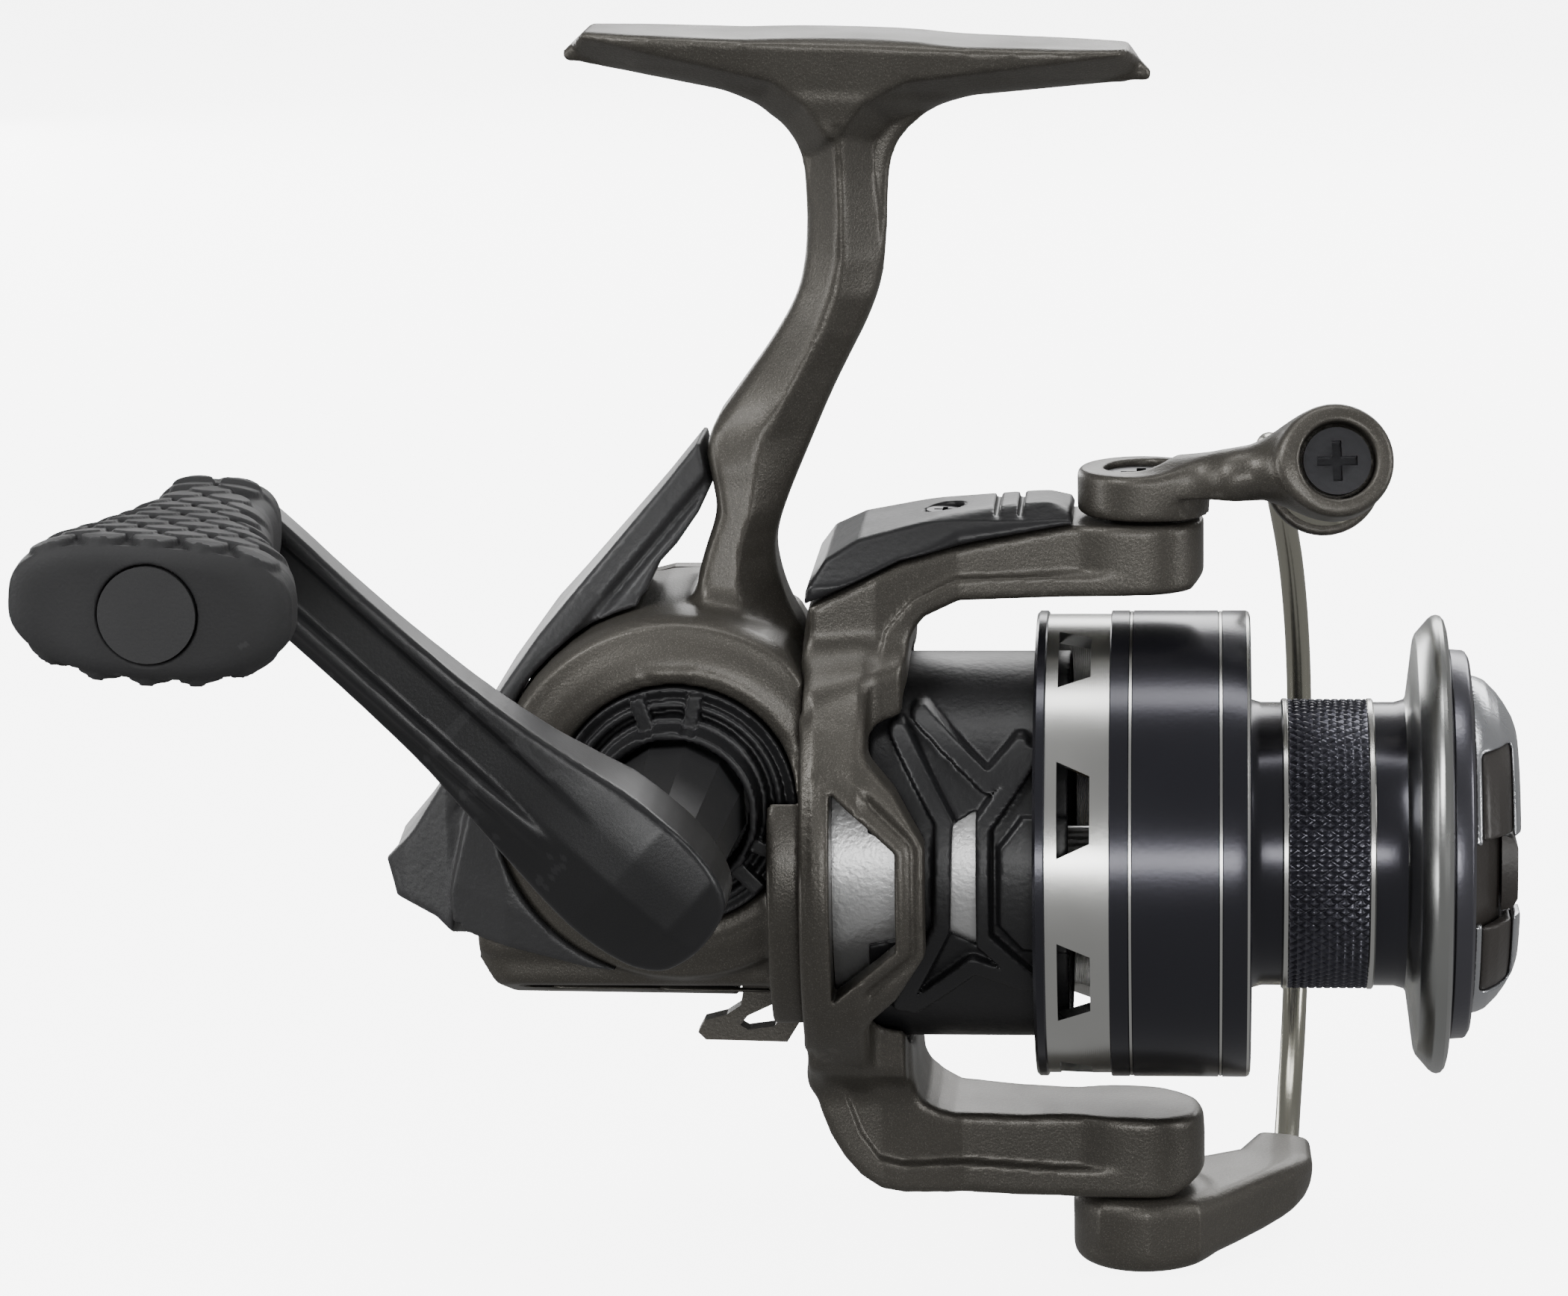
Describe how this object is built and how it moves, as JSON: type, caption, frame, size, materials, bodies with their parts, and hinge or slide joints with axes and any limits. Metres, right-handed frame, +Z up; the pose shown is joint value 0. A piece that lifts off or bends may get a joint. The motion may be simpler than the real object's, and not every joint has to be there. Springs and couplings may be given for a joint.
{
  "type": "spinning fishing reel",
  "caption": "Open-face spinning reel: foot and stem, gear housing with crank and knob, rotor with flip bail and line roller, ported spool and drag knob.",
  "frame": {"origin": "centre of the foot's seat face, where the reel meets the rod", "axes": "+X forward along the spool axis, +Z up towards the rod, -Y to the handle side; the seat face slopes 2.4 degrees, front end lower"},
  "size_m": [0.1366, 0.136, 0.1297],
  "materials": {
    "bronze_paint": "warm grey-bronze metallic, fine speckle",
    "guard_plastic": "charcoal matte plastic",
    "cap_plastic": "black satin plastic",
    "handle_paint": "black satin paint",
    "knob_rubber": "charcoal soft rubber",
    "drum_metal": "satin silver",
    "spool_black": "black gloss anodised",
    "spool_silver": "turned bright",
    "lip_metal": "titanium grey, polished edge",
    "drag_silver": "satin silver",
    "drag_dark": "dark satin",
    "steel": "ground",
    "nickel": "polished nickel",
    "gear_brass": "cut brass",
    "felt": "greased felt",
    "inner_plastic": "moulded",
    "screw_black": "black oxide"
  },
  "bodies": {
    "body": {"body_frame": "bronze_paint", "side_cover": "bronze_paint", "rear_guard": "guard_plastic", "bearing_cap": "cap_plastic", "far_cap": "cap_plastic", "cover_screws": "steel", "shaft_bearings": "steel", "pinion_bearings": "steel", "clutch_housing": "drum_metal", "clutch_rollers": "inner_plastic", "guide_rod": "steel", "gear_post": "steel", "lever_pin": "steel"},
    "lever": {"anti_reverse_lever": "bronze_paint"},
    "oscillation": {"oscillation_gear": "gear_brass"},
    "crank": {"drive_gear": "gear_brass", "crank_shaft": "steel", "handle_hub": "handle_paint", "fold_pin": "steel", "handle_arm": "handle_paint", "knob_shaft": "steel"},
    "knob": {"handle_knob": "knob_rubber", "knob_bushes": "steel", "knob_cap": "knob_rubber"},
    "rotor": {"rotor_frame": "bronze_paint", "rotor_drum": "drum_metal", "rotor_insert": "cap_plastic", "arm_cover": "cap_plastic", "arm_cover_screw": "steel", "pinion_gear": "gear_brass", "clutch_sleeve": "steel", "rotor_nut": "gear_brass", "bail_spring": "steel", "bail_pivot_screws": "steel"},
    "trip": {"trip_lever": "steel"},
    "bail": {"bail_arm": "bronze_paint", "bail_wire": "nickel", "bail_cone": "bronze_paint", "bail_holder": "bronze_paint", "roller_screw": "screw_black", "roller_bearing": "steel"},
    "roller": {"line_roller": "nickel"},
    "shaft": {"main_shaft": "steel", "slider_block": "inner_plastic", "spool_ratchet": "inner_plastic", "metal_washers": "steel"},
    "spool": {"spool_skirt": "spool_black", "ported_band": "spool_silver", "skirt_ring": "spool_black", "spool_arbor": "spool_black", "knurled_band": "spool_black", "spool_lip": "lip_metal", "spool_front_ring": "spool_black", "felt_washers": "felt", "retaining_clip": "steel"},
    "drag_knob": {"drag_knob_base": "drag_dark", "drag_knob_shell": "drag_silver", "drag_grip_bar": "drag_dark", "drag_nut": "gear_brass", "drag_spring": "steel"}
  },
  "joints": [
    {"name": "handle_spin", "type": "hinge", "parent": "body", "child": "crank", "pos_m": [-0.0183, -0.02, -0.0756], "axis": [0, 1, 0], "continuous": true},
    {"name": "knob_spin", "type": "hinge", "parent": "crank", "child": "knob", "pos_m": [-0.05698, -0.06, -0.0404], "axis": [0, 1, 0], "continuous": true},
    {"name": "rotor_spin", "type": "hinge", "parent": "body", "child": "rotor", "pos_m": [0, 0, -0.0836], "axis": [1, 0, 0], "continuous": true},
    {"name": "oscillation_spin", "type": "hinge", "parent": "body", "child": "oscillation", "pos_m": [-0.02345, -0.006, -0.0871], "axis": [0, 1, 0], "continuous": true},
    {"name": "spool_slide", "type": "slide", "parent": "body", "child": "shaft", "axis": [1, 0, 0], "range_m": [-0.007, 0.007]},
    {"name": "drag_slip", "type": "hinge", "parent": "shaft", "child": "spool", "pos_m": [0.045, 0, -0.0836], "axis": [1, 0, 0], "continuous": true},
    {"name": "drag_adjust", "type": "hinge", "parent": "shaft", "child": "drag_knob", "pos_m": [0.062, 0, -0.0836], "axis": [1, 0, 0], "range_deg": [-180, 540]},
    {"name": "bail_flip", "type": "hinge", "parent": "rotor", "child": "bail", "pos_m": [0.0284, 0, -0.0836], "axis": [0, 0, 1], "range_deg": [-118, 0]},
    {"name": "trip_slide", "type": "slide", "parent": "rotor", "child": "trip", "axis": [1, 0, 0], "range_m": [-0.0026, 0]},
    {"name": "roller_spin", "type": "hinge", "parent": "bail", "child": "roller", "pos_m": [0.04729, -0.00047, -0.0445], "axis": [-0.0943, 0.9447, -0.314], "continuous": true},
    {"name": "lever_tilt", "type": "hinge", "parent": "body", "child": "lever", "pos_m": [-0.0097, -0.004, -0.0972], "axis": [1, 0, 0], "range_deg": [0, 25]}
  ],
  "couplings": [
    {"joint": "rotor_spin", "follows": "handle_spin", "ratio": -6.1429},
    {"joint": "oscillation_spin", "follows": "handle_spin", "ratio": -0.5},
    {"joint": "trip_slide", "follows": "bail_flip", "m_per_rad": 0.001214}
  ]
}
